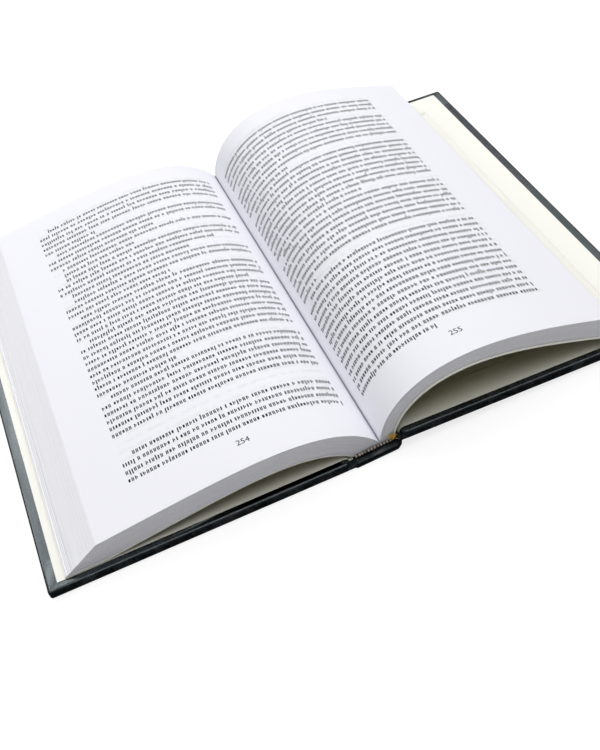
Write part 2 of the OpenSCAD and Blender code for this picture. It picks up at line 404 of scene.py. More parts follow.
def makePageMaterial():
    # The open pages: print on the other side of the sheet shows through as faint bands, and shade is painted
    # along the fold
    material, tree, shader = startMaterial("pagePaper", 0.75, 0.25)
    fibres = groupNode(tree, groups["fibres"], {"Vector": objectPlace(tree)})
    sheet = mixColour(tree, fibres["Tone"], pageColours["shade"], pageColours["sheet"])
    page = addNode(tree, "ShaderNodeUVMap", uv_map="page").outputs["UV"]
    split = addNode(tree, "ShaderNodeSeparateXYZ", {"Vector": page}).outputs
    line = mathNode(tree, "FRACT", times(tree, split["Y"], ghostPrint["lines"]))
    words = noiseNode(tree, stretched(tree, page, ghostPrint["wordScale"]), 1.0, 2.0, 0.6)
    words = mapped(tree, words, *ghostPrint["wordRange"], 0.0, ghostPrint["strength"])
    ghost = times(tree, isNear(tree, line, 0.5, ghostPrint["lineHalf"]), words)
    for axis, (middle, reach) in ghostPrint["field"].items():
        ghost = times(tree, ghost, isNear(tree, split[axis], middle, reach))
    colour = mixColour(tree, ghost, sheet, pageColours["ghost"])
    # Painted shade along the line where the two open pages meet
    fold = mapped(tree, split["X"], 0.0, ghostPrint["foldWidth"] / book["pageWidth"], 1.0, 0.0)
    paint(tree, shader, mixColour(tree, times(tree, fold, fold), colour, pageColours["fold"]))
    return material


def makeEdgeMaterial(name, light, dark, run):
    material, tree, shader = startMaterial(name, 0.85, 0.15)
    place = addNode(tree, "ShaderNodeAttribute", attribute_name="leafPlace").outputs["Vector"]
    lines = groupNode(tree, groups["lines"], {"Vector": place, "Run": run})
    tone = mapped(tree, lines["Tone"], 0.30, 0.65)
    paint(tree, shader, mixColour(tree, tone, dark, light))
    addBump(tree, shader, lines["Height"], 0.22, 0.0001)
    return material


def makeInkMaterial():
    material, tree, shader = startMaterial("printInk", 0.6, 0.3)
    patches = noiseNode(tree, objectPlace(tree), 1800.0, 2.0, 0.5)
    worn = mapped(tree, patches, 0.35, 0.7)
    paint(tree, shader, mixColour(tree, worn, pageColours["ink"], pageColours["inkFaded"]))
    return material


# Where the painted shade under the leaves starts on the endpaper and where it is deepest, in metres from the
# middle
paintedShadeReach = {"X": (0.117, 0.105), "Y": (0.1035, 0.091)}


def makeCreamMaterial():
    material, tree, shader = startMaterial("creamEndpaper", 0.8, 0.2)
    fibres = groupNode(tree, groups["fibres"], {"Vector": objectPlace(tree), "Cloud Scale": 22.0})
    colour = mixColour(tree, fibres["Tone"], pageColours["creamShade"], pageColours["cream"])
    # Painted shade: deep under the leaves, away from the margins, the paper is painted darker, standing for
    # the leaves' shade
    split = addNode(tree, "ShaderNodeSeparateXYZ", {"Vector": objectPlace(tree)}).outputs
    depth = [mapped(tree, mathNode(tree, "ABSOLUTE", split[axis]), *limits)
             for axis, limits in paintedShadeReach.items()]
    paint(tree, shader, mixColour(tree, times(tree, *depth), colour, pageColours["paintedShadeUnderLeaves"]))
    addBump(tree, shader, fibres["Height"], 0.2, 0.0001)
    return material


leatherette = {
    "deep": (0.004, 0.006, 0.008),
    "face": (0.016, 0.022, 0.026),
    "worn": (0.070, 0.082, 0.088),
    "specular": 1.0,
    "sheenTint": (0.86, 0.96, 1.0),
}


def makeLeatheretteMaterial():
    # Dark blue-green covering: fine grain, drawn streaks, paler where the rim rubs
    material, tree, shader = startMaterial("leatherette", 0.3, leatherette["specular"])
    grain = groupNode(tree, groups["grain"], {"Vector": objectPlace(tree)})
    streaks = mapped(tree, grain["Streaks"], 0.35, 0.7)
    colour = mixColour(tree, streaks, leatherette["deep"], leatherette["face"])
    rub = addNode(tree, "ShaderNodeAttribute", attribute_name="rub").outputs["Fac"]
    patches = mapped(tree, noiseNode(tree, objectPlace(tree), 160.0, 4.0, 0.7), 0.45, 0.75)
    worn = times(tree, rub, patches)
    paint(tree, shader, mixColour(tree, worn, colour, leatherette["worn"]))
    tree.links.new(mapped(tree, grain["Streaks"], 0.36, 0.64, 0.19, 0.40), shader.inputs["Roughness"])
    shader.inputs["Specular Tint"].default_value = (*leatherette["sheenTint"], 1.0)
    addBump(tree, shader, grain["Height"], 0.25, 0.00004)
    return material


def makeBoardMaterial(name, light, dark, scale):
    material, tree, shader = startMaterial(name, 0.9, 0.2)
    fibres = groupNode(tree, groups["fibres"], {"Vector": objectPlace(tree), "Fibre Scale": scale})
    tone = mapped(tree, fibres["Tone"], 0.35, 0.65)
    paint(tree, shader, mixColour(tree, tone, dark, light))
    addBump(tree, shader, fibres["Height"], 0.4, 0.0002)
    return material


def makeMullMaterial():
    # Open cotton weave
    material, tree, shader = startMaterial("mullCotton", 0.95, 0.1)
    waves = []
    for direction in ("X", "Y"):
        wave = addNode(tree, "ShaderNodeTexWave", {"Vector": objectPlace(tree), "Scale": 260.0},
                       bands_direction=direction)
        waves.append(wave.outputs["Fac"])
    weave = mathNode(tree, "MAXIMUM", waves[0], waves[1])
    paint(tree, shader, mixColour(tree, weave, (0.42, 0.39, 0.31), (0.74, 0.71, 0.60)))
    addBump(tree, shader, weave, 0.6, 0.0002)
    return material


def makeThreadMaterial(name, light, dark):
    material, tree, shader = startMaterial(name, 0.6, 0.3)
    twist = noiseNode(tree, stretched(tree, objectPlace(tree), (1.0, 1.0, 0.4)), 2600.0, 2.0, 0.6)
    paint(tree, shader, mixColour(tree, twist, dark, light))
    shader.inputs["Sheen Weight"].default_value = 0.3
    addBump(tree, shader, twist, 0.5, 0.0001)
    return material


materials = {
    "page": makePageMaterial(),
    "tailEdge": makeEdgeMaterial("cutEdges", pageColours["edge"], pageColours["edgeShade"], 0.02),
    "foreEdge": makeEdgeMaterial("foreEdge", pageColours["foreEdge"], pageColours["foreEdgeShade"], 0.015),
    "ink": makeInkMaterial(),
    "cream": makeCreamMaterial(),
    "leatherette": makeLeatheretteMaterial(),
    "board": makeBoardMaterial("greyboard", (0.30, 0.29, 0.26), (0.20, 0.19, 0.17), 600.0),
    "card": makeBoardMaterial("spineCard", (0.45, 0.37, 0.27), (0.33, 0.27, 0.19), 700.0),
    "mull": makeMullMaterial(),
    "gold": makeThreadMaterial("goldThread", (1.0, 0.76, 0.17), (0.60, 0.37, 0.06)),
    "pale": makeThreadMaterial("paleThread", (0.66, 0.61, 0.54), (0.42, 0.38, 0.33)),
    "dark": makeThreadMaterial("darkThread", (0.10, 0.085, 0.08), (0.035, 0.03, 0.028)),
}
print("materials made")


# Finishing a piece

def addObject(name, data):
    made = bpy.data.objects.new(name, data)
    bpy.context.scene.collection.objects.link(made)
    return made


def newMesh(name, shape, size=toMetres):
    # The shape as a mesh in metres
    bmesh.ops.scale(shape, vec=(size,) * 3, verts=shape.verts)
    mesh = bpy.data.meshes.new(name)
    shape.to_mesh(mesh)
    shape.free()
    return mesh


def evaluatedMesh(thing):
    # What the object looks like with its modifiers, as a mesh of its own
    bpy.context.view_layer.update()
    return bpy.data.meshes.new_from_object(thing.evaluated_get(bpy.context.evaluated_depsgraph_get()))


def turnOut(shape):
    bmesh.ops.recalc_face_normals(shape, faces=shape.faces)


def vertsIn(geometry):
    return [v for v in geometry if isinstance(v, bmesh.types.BMVert)]


def finishPiece(name, shape, materialNames, replaced=(), sharpAngle=35):
    mesh = newMesh(name, shape)
    for materialName in materialNames:
        mesh.materials.append(materials[materialName])
    mesh.shade_smooth()
    mesh.set_sharp_from_angle(angle=math.radians(sharpAngle))
    piece = addObject(name, mesh)
    if replaced:
        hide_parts(*replaced)
    print("made", name, len(mesh.polygons), "faces")
    return piece


# The leaves

leaves = {
    "packets": {"front": 26, "back": 13},
    "seed": 11,
    "hairline": 0.03,
    "tailJitter": 0.07,
    "foreJitter": 0.13,
    # Wider openings between packets: packet above it, width, where it starts and ends along the leaf
    "openings": {
        "front": [(1, 0.22, 1.0, 34.0), (3, 0.16, 2.0, 22.0), (25, 0.10, 0.0, 26.0)],
        "back": [(12, 0.24, -1.0, 62.0), (1, 0.20, 0.0, 40.0)],
    },
    "flare": {"front": 0.75, "back": 0.35},
    "flareFade": 0.9,
    "outerJitter": 0.3,
    "foldEnd": -0.75,
    # Cuts along a packet, and up an inner packet and the outermost one
    "cutsAlong": 162,
    "cutsUp": (6, 14),
    "waveHeight": 0.22,
    "waveLength": 150.0,
    "wavePhase": {"front": 0.6, "back": 2.1},
    "clearance": 0.04,
    # The fold at the gutter opens a little between the two halves
    "cleftWidth": 0.34,
    "cleftReach": 2.4,
    "cleftFoot": 0.8,
}


def pageWave(side, along, y):
    # The slow rise and fall of a sheet from tail to head; never above the cut block
    reach = smoothStep(0.0, book["pageWidth"], along)
    turn = math.sin(2 * math.pi * y / leaves["waveLength"] + leaves["wavePhase"][side])
    return -leaves["clearance"] - leaves["waveHeight"] * reach * (0.5 + 0.5 * turn)


def cleftAt(along, share):
    if along < 0:
        return 0.0
    spread = 1 - smoothStep(0.0, leaves["cleftReach"], along)
    return leaves["cleftWidth"] / 2 * spread * smoothStep(leaves["cleftFoot"], 1.0, share)


def facesOf(points):
    chosen = set(points)
    return [f for f in {f for v in points for f in v.link_faces} if chosen.issuperset(f.verts)]


def addSlab(shape, alongSpan, ySpan, heights, cuts):
    # A flat slab: x along the leaf, y up the page, z the height in the block
    made = bmesh.ops.create_grid(shape, x_segments=cuts[0], y_segments=cuts[1], size=0.5)["verts"]
    for v in made:
        v.co = (lerp(*alongSpan, v.co.x + 0.5), lerp(*ySpan, v.co.y + 0.5), heights[0])
    lifted = bmesh.ops.extrude_face_region(shape, geom=facesOf(made))["geom"]
    raised = vertsIn(lifted)
    for v in raised:
        v.co.z = heights[1]
    return made + raised


def markFaces(shape, points, edgeMaterials):
    # The paper's faces keep material 0; cut ends take the material of their direction
    page = shape.loops.layers.uv["page"]
    for face in facesOf(points):
        face.normal_update()
        if abs(face.normal.y) > 0.5:
            face.material_index = edgeMaterials[0]
        elif abs(face.normal.x) > 0.5:
            face.material_index = edgeMaterials[1]
        for loop in face.loops:
            along, y = loop.vert.co.x, loop.vert.co.y
            loop[page].uv = (along / book["pageWidth"], y / (2 * book["pageHalf"]) + 0.5)


def newLeafShape():
    shape = bmesh.new()
    shape.verts.layers.float_vector.new("leafPlace")
    shape.loops.layers.uv.new("page")
    return shape


def openingAt(side, packet, along):
    width = leaves["hairline"]
    for above, gap, start, end in leaves["openings"][side]:
        if above == packet and start < along < end:
            width += gap / 2 * math.sin(math.pi * (along - start) / (end - start))
    return width


def addPacket(shape, side, packet, draw):
    count = leaves["packets"][side]
    outermost = packet == count - 1
    jitter = draw.uniform(0, leaves["foreJitter"]) * (leaves["outerJitter"] if outermost else 1)
    foreEnd = book["pageWidth"] - jitter
    foreEnd += leaves["flare"][side] * math.exp(-packet / leaves["flareFade"])
    half = book["pageHalf"]
    tail, head = (draw.uniform(0, leaves["tailJitter"]) for _ in range(2))
    if outermost:
        tail = 0.0
    ends = (-half + tail, half - head)
    cuts = (leaves["cutsAlong"], leaves["cutsUp"][outermost])
    points = addSlab(shape, (leaves["foldEnd"], foreEnd), ends, (packet, packet + 1), cuts)
    markFaces(shape, points, (1, 2))
    layer = shape.verts.layers.float_vector["leafPlace"]
    for v in points:
        along, y, height = v.co
        v[layer] = (along, y, height)
        width = gapWidth(side, along)
        share = height / count
        if height == packet and packet > 0:
            share += openingAt(side, packet, along) / width
        elif height > packet and not outermost:
            share -= openingAt(side, packet + 1, along) / width
        lift = pageWave(side, along, y) * share if share > 0 else 0.0
        v.co = onLeaf(side, ("fly", "top"), along, y, share, lift)
        v.co.x += sides[side] * cleftAt(along, share)


def makePages():
    shape = newLeafShape()
    draw = random.Random(leaves["seed"])
    for side in sides:
        for packet in range(leaves["packets"][side]):
            addPacket(shape, side, packet, draw)
    turnOut(shape)
    piece = finishPiece("pages", shape, ("page", "tailEdge", "foreEdge"), ("text_block",))
    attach(piece, "root")


makePages()


flyleaves = {
    "tailReach": {"front": 0.25, "back": 1.0},
    "foreReach": {"front": 0.9, "back": 0.6},
    # Lower and upper face, as shares of the room between the curves
    "faces": (0.08, 0.8),
    "cutsUp": 8,
}


def makeFlyleaf(side):
    shape = newLeafShape()
    half = book["pageHalf"]
    reach = flyleaves["tailReach"][side]
    foreEnd = book["pageWidth"] + flyleaves["foreReach"][side]
    cuts = (leaves["cutsAlong"], flyleaves["cutsUp"])
    points = addSlab(shape, (0.0, foreEnd), (-half - reach, half + reach / 2), flyleaves["faces"], cuts)
    markFaces(shape, points, (0, 0))
    for v in points:
        along, y, height = v.co
        v.co = onLeaf(side, ("low", "fly"), along, y, height)
    turnOut(shape)
    piece = finishPiece(side + "_free_endpaper", shape, ("cream",), (side + "_flyleaf",))
    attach(piece, "root")


for side in sides:
    makeFlyleaf(side)


# The print: strokes that stand for words, with no letters in them

printing = {
    "pitch": 4.043,
    "lines": 42,
    "lift": 0.025,
    "seed": 268,
    "xHeight": 1.85,
    "letterGap": 0.56,
    "wordGap": 1.3,
    # Each mark is dabs given as offset, width, foot and top, the last two in x-heights; no dabs touch
    "marks": (
        ((0.0, 0.55, 0.0, 1.0),),
        ((0.0, 0.39, 0.0, 1.0), (0.57, 0.39, 0.0, 1.0)),
        ((0.0, 0.78, 0.10, 0.90),),
        ((0.0, 0.43, 0.0, 1.0), (0.60, 0.36, 0.26, 0.76)),
        ((0.0, 0.51, 0.0, 1.42),),
        ((0.0, 0.49, -0.42, 1.0),),
    ),
    "markWeights": (4, 7, 4, 4, 1, 1),
    "wordLengths": (1, 2, 3, 4, 5, 6, 7, 8, 10),
    "lengthWeights": (6, 7, 8, 8, 14, 13, 11, 8, 6),
    "tries": 60,
    "lean": 0.07,
    "indent": 5.2,
    # Where a line starts on the leaf, its direction there, its width, and the lowest line's height
    "front": {"start": 100.9, "way": -1, "width": 91.0, "foot": 18.8},
    "back": {"start": 7.9, "way": 1, "width": 90.8, "foot": 18.22},
    "blank": {"front": (4, 5), "back": ()},
    "indented": {
        "front": (3, 11, 20, 24, 27, 28, 31, 32, 33, 36, 41),
        "back": (14, 22, 31, 37),
    },
    "short": {
        "front": {12: 0.4, 21: 0.9, 25: 0.55, 28: 0.7, 29: 0.85, 32: 0.45, 34: 0.6, 37: 0.3},
        "back": {0: 0.47, 15: 0.16, 23: 0.6, 32: 0.35, 38: 0.7},
    },
}


def addStroke(shape, middle, size, turn):
    place = Matrix.Translation(Vector((*middle, 0.0))) @ Matrix.Rotation(turn, 4, "Z")
    place = place @ Matrix.Diagonal(Vector((*size, 1.0, 1.0)))
    bmesh.ops.create_grid(shape, x_segments=1, y_segments=1, size=0.5, matrix=place)


def markWidth(mark):
    return max(offset + width for offset, width, foot, top in mark)


def wordWidth(word):
    return sum(markWidth(mark) + printing["letterGap"] for mark in word) - printing["letterGap"]


def chooseWords(width, draw):
    # Words at their own width, until no more go on the line
    words = []
    spare = width
    for _ in range(printing["tries"]):
        count = draw.choices(printing["wordLengths"], printing["lengthWeights"])[0]
        word = draw.choices(printing["marks"], printing["markWeights"], k=count)
        if wordWidth(word) <= spare:
            words.append(word)
            spare -= wordWidth(word) + printing["wordGap"]
    return words, spare + printing["wordGap"]


def addWords(shape, x, y, width, justified, draw):
    words, spare = chooseWords(width, draw)
    gap = printing["wordGap"] + (spare / max(len(words) - 1, 1) if justified else 0.0)
    tall = printing["xHeight"]
    for word in words:
        for mark in word:
            for offset, size, foot, top in mark:
                middle = (x + offset + size / 2, y + (foot + top) / 2 * tall)
                turn = draw.uniform(-printing["lean"], printing["lean"])
                addStroke(shape, middle, (size, (top - foot) * tall), turn)
            x += markWidth(mark) + printing["letterGap"]
        x += gap - printing["letterGap"]


def addPageOfWords(shape, side, draw):
    # Each line is set in a mesh of its own and then joined on, which keeps the operators quick
    layout = printing[side]
    lineMesh = bpy.data.meshes.new("line")
    for line in range(printing["lines"]):
        if line in printing["blank"][side]:
            continue
        inset = printing["indent"] if line in printing["indented"][side] else 0.0
        share = printing["short"][side].get(line, 1.0)
        width = layout["width"] * share - inset
        y = layout["foot"] + printing["pitch"] * line - book["pageHalf"]
        lineShape = bmesh.new()
        addWords(lineShape, inset, y, width, share == 1.0, draw)
        lineShape.to_mesh(lineMesh)
        lineShape.free()
        shape.from_mesh(lineMesh)
    bpy.data.meshes.remove(lineMesh)


def bendOntoPage(shape, side):
    # Flat print, x to the right of the margin, laid on the open page
    layout = printing[side]
    for v in shape.verts:
        along = layout["start"] + layout["way"] * v.co.x
        y = v.co.y
        lift = pageWave(side, along, y) + printing["lift"]
        v.co = onLeaf(side, ("fly", "top"), along, y, 1.0, lift)
    for face in shape.faces:
        face.normal_update()
        if face.normal.z < 0:
            face.normal_flip()


def makePrint(side):
    shape = bmesh.new()
    addPageOfWords(shape, side, random.Random(printing["seed"] + len(side)))
    bendOntoPage(shape, side)
    piece = finishPiece(side + "_page_print", shape, ("ink",))
    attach(piece, "root")


folios = {
    "figures": {"front": "254", "back": "255"},
    "middle": {"front": 45.5, "back": 47.6},
    "size": 3.7,
    "height": -88.9,
}


def makeFolio(side):
    # Page number, plain figures
    text = bpy.data.curves.new(side + "_folio", "FONT")
    text.body = folios["figures"][side]
    text.size = folios["size"]
    text.align_x = "CENTER"
    holder = addObject(side + "_folio", text)
    mesh = evaluatedMesh(holder)
    bpy.data.objects.remove(holder)
    shape = bmesh.new()
    shape.from_mesh(mesh)
    bpy.data.meshes.remove(mesh)
    bpy.data.curves.remove(text)
    for v in shape.verts:
        v.co = (v.co.x + folios["middle"][side], v.co.y + folios["height"], 0.0)
    bendOntoPage(shape, side)
    piece = finishPiece(side + "_page_number", shape, ("ink",))
    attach(piece, "root")


for side in sides:
    makePrint(side)
    makeFolio(side)


# The covers: leatherette over greyboard, with the joint it turns on

cloth = {
    "stripReach": {"front": 2.3, "back": 1.2},
    "wall": 0.55,
    "bendFrom": 0.7,
    "bendTo": 0.75,
    "seamWidth": 0.16,
    "seamDepth": 0.22,
    "seamSpread": 1.6,
    "boardGap": 0.02,
    "cutPast": 1.0,
    "hemTop": 1.15,
    "stripSteps": 8,
    "near": 0.01,
    "cornerRadius": 1.1,
    "spineEndRadius": 0.8,
    # The turn-in bunched up at a joint's end: its middle, from the cover's end, and its half sizes
    "lump": (1.6, 2.3, 2.05),
    "lumpSize": (2.3, 2.15, 1.65),
    # How far its inner half runs out along the joint, and sinks, for each millimetre
    "lumpRun": 3.6,
    "lumpDrop": 0.2,
    # Where the rubbed tone of the rim and of the corners starts and ends, and the corners' share
    "rimRub": (0.2, 1.6),
    "cornerRub": (8.0, 34.0),
    "cornerShare": 0.6,
}


def cutAt(shape, place, direction):
    geometry = shape.verts[:] + shape.edges[:] + shape.faces[:]
    bmesh.ops.bisect_plane(shape, geom=geometry, plane_co=place, plane_no=direction, dist=0.0001)


def addBox(shape, low, high):
    low, high = Vector(low), Vector(high)
    place = Matrix.Translation((low + high) / 2) @ Matrix.Diagonal((*(high - low), 1.0))
    return bmesh.ops.create_cube(shape, size=1.0, matrix=place)["verts"]


def bevelEdges(shape, chosen, width, segments):
    bmesh.ops.bevel(shape, geom=chosen, offset=width, segments=segments, affect="EDGES",
                    profile=0.5, material=-1, clamp_overlap=True)


def edgeMiddle(edge):
    return (edge.verts[0].co + edge.verts[1].co) / 2


def makeCoverCloth(side):
    half = book["coverHalf"]
    width, radius = cover["width"], cover["edgeRadius"]
    shape = bmesh.new()
    addBox(shape, (cover["jointWidth"], -half, cover["under"]), (width, half, cover["top"]))

    # Corners are nearly square in plan; the long edges are padded
    jointX, near, corner = cover["jointWidth"], cloth["near"], cloth["cornerRadius"]
    inset = corner + 0.2
    upright = [e for e in shape.edges
               if edgeMiddle(e).x > width - near and abs(edgeMiddle(e).y) > half - near]
    bevelEdges(shape, upright, corner, 4)
    level = [e for e in shape.edges
             if (edgeMiddle(e).x > width - inset or abs(edgeMiddle(e).y) > half - inset)
             and abs(e.verts[0].co.z - e.verts[1].co.z) < near and edgeMiddle(e).x > jointX + near]
    bevelEdges(shape, level, radius, 6)
    spineEdges = [e for e in shape.edges
                  if all(abs(v.co.x - jointX) < near for v in e.verts) and e.calc_length() > half]
    bevelEdges(shape, spineEdges, cloth["spineEndRadius"], 4)

    window = cover["window"]
    for y in (-window, window):
        cutAt(shape, (0, y, 0), (0, 1, 0))
    cutAt(shape, (cover["windowEnd"], 0, 0), (1, 0, 0))
    for y in range(-90, 91, 30):
        cutAt(shape, (0, y, 0), (0, 1, 0))
    for z in (0.0, cover["cloth"], cloth["hemTop"]):
        cutAt(shape, (0, 0, z), (0, 0, 1))

    # Mitred corners, where one turn-in lies over the other
    for end in (-1, 1):
        for offset in (-cloth["seamWidth"], cloth["seamWidth"]):
            cutAt(shape, (width + offset, end * half, 0), (1, -end, 0))
        for v in shape.verts:
            inward = Vector((width - v.co.x, half - end * v.co.y))
            onTop = v.co.z > cover["top"] - radius and max(inward) < cover["turnIn"]
            if onTop and 0 < inward.y - inward.x < cloth["seamWidth"] * cloth["seamSpread"]:
                v.co.z -= cloth["seamDepth"]

    # The strip in the joint grows out of the board's side, and is double where the cloth is turned in
    strip = []
    for face in shape.faces:
        middle = face.calc_center_median()
        thick = cloth["hemTop"] if abs(middle.y) > window else cover["cloth"]
        if middle.x < jointX + 0.2 and 0 < middle.z < thick and abs(face.normal.x) > 0.7:
            strip.append(face)
    step = (cloth["stripReach"][side] + jointX) / cloth["stripSteps"]
    for _ in range(cloth["stripSteps"]):
        grown = bmesh.ops.extrude_face_region(shape, geom=strip)["geom"]
        strip = [f for f in grown if isinstance(f, bmesh.types.BMFace)]
        bmesh.ops.translate(shape, verts=vertsIn(grown), vec=(-step, 0, 0))

    # The turn-in bunches where it enters the joint
    lumpX, lumpInset, lumpZ = cloth["lump"]
    for end in (-1, 1):
        place = Matrix.Translation((lumpX, end * (half - lumpInset), lumpZ))
        place = place @ Matrix.Diagonal((*cloth["lumpSize"], 1.0))
        ball = bmesh.ops.create_uvsphere(shape, u_segments=28, v_segments=16, radius=1.0, matrix=place)
        for v in ball["verts"]:
            inward = end * (half - lumpInset) - v.co.y
            if end * inward > 0:
                v.co.y -= inward * cloth["lumpRun"]
                v.co.z -= abs(inward) * cloth["lumpDrop"]

    # The rim and the corners are rubbed paler
    rub = shape.verts.layers.float.new("rub")
    for v in shape.verts:
        fromFore, fromEnd = width - v.co.x, half - abs(v.co.y)
        rim = 1.0 - smoothStep(*cloth["rimRub"], min(fromFore, fromEnd))
        spread = 1.0 - smoothStep(*cloth["cornerRub"], math.hypot(fromFore, fromEnd))
        v[rub] = max(rim, cloth["cornerShare"] * spread)
        v.co = onCover(side, *v.co)
    turnOut(shape)
    return finishPiece(side + "_cloth", shape, ("leatherette",), (side + "_covering",), 50)


def boardCutter(side):
    # The board's own space, and the window inside the turn-ins, open above and towards the spine
    gap, past = cloth["boardGap"], cloth["cutPast"]
    half = book["coverHalf"] - cover["cloth"] + gap
    shape = bmesh.new()
    addBox(shape, (cover["jointWidth"] + cover["cloth"] - gap, -half, cover["under"] + cover["cloth"] - gap),
           (cover["width"] - cover["cloth"] + gap, half, cover["boardTop"] + gap))
    addBox(shape, (-past, -cover["window"], cover["cloth"] + gap),
           (cover["windowEnd"], cover["window"], cover["top"] + past))
    for v in shape.verts:
        v.co = onCover(side, *v.co)
    turnOut(shape)
    return addObject(side + "_cutter", newMesh(side + "_cutter", shape))


def cutBoardOut(piece, side):
    # The cloth is a real wrapping: the board's space and the window inside the turn-ins are empty
    cutter = boardCutter(side)
    modifier = piece.modifiers.new("boardSpace", "BOOLEAN")
    modifier.operation = "DIFFERENCE"
    modifier.solver = "EXACT"
    modifier.use_self = True
    modifier.object = cutter
    mesh = evaluatedMesh(piece)
    piece.modifiers.clear()
    old = piece.data
    piece.data = mesh
    mesh.name = old.name
    bpy.data.meshes.remove(old)
    bpy.data.objects.remove(cutter)


def blendAcross(piece):
    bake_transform(piece)


for side in sides:
    coverCloth = makeCoverCloth(side)
    cutBoardOut(coverCloth, side)
    blendAcross(coverCloth)


# The endpaper: one sheet from the spine over the joint and the board, up onto the turn-ins

endpaper = {
    "thickness": 0.18,
    "bareFore": 4.4,
    "bareEnd": 3.0,
    "mullEnd": 26.4,
    "mullHalf": 85.0,
    "mullRise": 0.2,
    "turnInRise": 0.6,
    "softStep": 1.3,
    "innerEnd": {"front": -2.9, "back": -2.6},
    "innerHeight": {"front": 2.1, "back": 0.55},
    "jointHeight": 1.0,
    "hemRise": 0.55,
    "lift": 0.02,
    # Where the sheet climbs from the joint onto the board, and its room and fade over the bunches
    "boardSlope": (0.3, 2.3),
    "lumpRoom": (0.4, 0.25),
    "lumpFade": (-2, 6),
}


def endpaperHeight(side, x, y):
    # Height of the sheet's upper face over the cover's joint, board, mull and turn-ins
    soft, window, windowEnd = endpaper["softStep"], cover["window"], cover["windowEnd"]
    board = cover["boardTop"] + endpaper["thickness"] + endpaper["lift"]
    overTurnIn = max(
        smoothStep(windowEnd - soft, windowEnd, x),
        smoothStep(window - soft, window, abs(y)),
    )
    overMull = 1 - max(
        smoothStep(endpaper["mullEnd"], endpaper["mullEnd"] + soft, x),
        smoothStep(endpaper["mullHalf"], endpaper["mullHalf"] + soft, abs(y)),
    )
    onBoard = board + max(overTurnIn * endpaper["turnInRise"], overMull * endpaper["mullRise"])
    hem = smoothStep(window - 1, window + 1, abs(y))
    joint = endpaper["jointHeight"] + endpaper["hemRise"] * hem
    slope = endpaper["boardSlope"]
    height = lerp(joint, onBoard, smoothStep(*slope, x))
    if x < slope[0]:
        toJoint = smoothStep(endpaper["innerEnd"][side], 0.0, x)
        height = lerp(endpaper["innerHeight"][side], joint, toJoint)
    # Over the bunched turn-in at the ends of the joint
    (lumpX, _, lumpZ), (halfX, _, halfZ) = cloth["lump"], cloth["lumpSize"]
    roomX, roomZ = endpaper["lumpRoom"]
    fade = [window + margin for margin in endpaper["lumpFade"]]
    if abs(y) > fade[0] and abs(x - lumpX) < halfX + roomX:
        rise = lumpZ + (halfZ + roomZ) * math.sqrt(1 - ((x - lumpX) / (halfX + roomX)) ** 2)
        height = max(height, lerp(height, rise, smoothStep(*fade, abs(y))))
    return height


def makeEndpaper(side):
    inner = endpaper["innerEnd"][side]
    outer = cover["width"] - endpaper["bareFore"]
    half = book["coverHalf"] - endpaper["bareEnd"]
    shape = bmesh.new()
    bmesh.ops.create_grid(shape, x_segments=1, y_segments=1, size=0.5)
    for v in shape.verts:
        v.co = (lerp(inner, outer, v.co.x + 0.5), v.co.y * 2 * half, 0.0)
    # Close cuts where the sheet steps up or down and wide ones between: first cut, spacing, number
    xRuns = ((inner + 0.3, 0.3, 25), (endpaper["mullEnd"], 0.33, 5),
             (cover["windowEnd"] - endpaper["softStep"], 0.33, 5), (8.0, 8.0, 13))
    yRuns = ((endpaper["mullHalf"], 0.33, 5), (cover["window"] - 2.0, 0.5, 8),
             (0.0, 8.0, 11), (94.0, 3.0, 2))
    for first, spacing, number in xRuns:
        for i in range(number):
            cutAt(shape, (first + spacing * i, 0, 0), (1, 0, 0))
    for first, spacing, number in yRuns:
        for i in range(number):
            for end in (-1, 1):
                cutAt(shape, (0, end * (first + spacing * i), 0), (0, 1, 0))
    lifted = bmesh.ops.extrude_face_region(shape, geom=facesOf(shape.verts[:]))["geom"]
    raised = set(vertsIn(lifted))
    for v in shape.verts:
        drop = 0.0 if v in raised else endpaper["thickness"]
        height = endpaperHeight(side, v.co.x, v.co.y)
        v.co = onCover(side, v.co.x, v.co.y, height - drop)
    turnOut(shape)
    piece = finishPiece(side + "_endpaper", shape, ("cream",), (side + "_pastedown",), 50)
    blendAcross(piece)


for side in sides:
    makeEndpaper(side)


# The spine of the case

spine = {
    "edge": -9.6,
    "shoulder": 1.5,
    "wallStep": 0.2,
    "rounding": 0.5,
    "inlayTop": 2.0,
    "shoulderShare": 0.6,
    # Faces of the cloth doubled at head and tail: insets along the inlay, then steps from the
    # shoulder and from the top of the wall
    "inside": ((0.5, 0.2), (-0.55, 0.0), (-0.55, 0.55)),
    "outside": ((0.9, 0.7), (-1.1, 0.5), (-1.1, 1.1)),
    "endInset": 0.06,
    "hemRadius": 0.24,
    "hemRub": 0.25,
    "rimRub": (0.3, 2.5),
    "rimRadius": 0.18,
}


def spinePath():
    liftFront = cover["hinges"]["front"][1]
    liftBack = cover["hinges"]["back"][1]
    frontEnd = -cover["hinges"]["front"][0] + cloth["stripReach"]["front"]
    backEnd = cover["hinges"]["back"][0] - cloth["stripReach"]["back"]
    shoulder = book["spineHalf"] + spine["shoulder"]
    return [
        Vector((frontEnd, liftFront)), Vector((spine["edge"], liftFront)), leaning(-book["spineHalf"], 0),
        leaning(book["spineHalf"], 0), Vector((shoulder, spine["shoulderShare"] * liftBack)),
        Vector((shoulder + spine["wallStep"], liftBack)), Vector((backEnd, liftBack)),
    ]


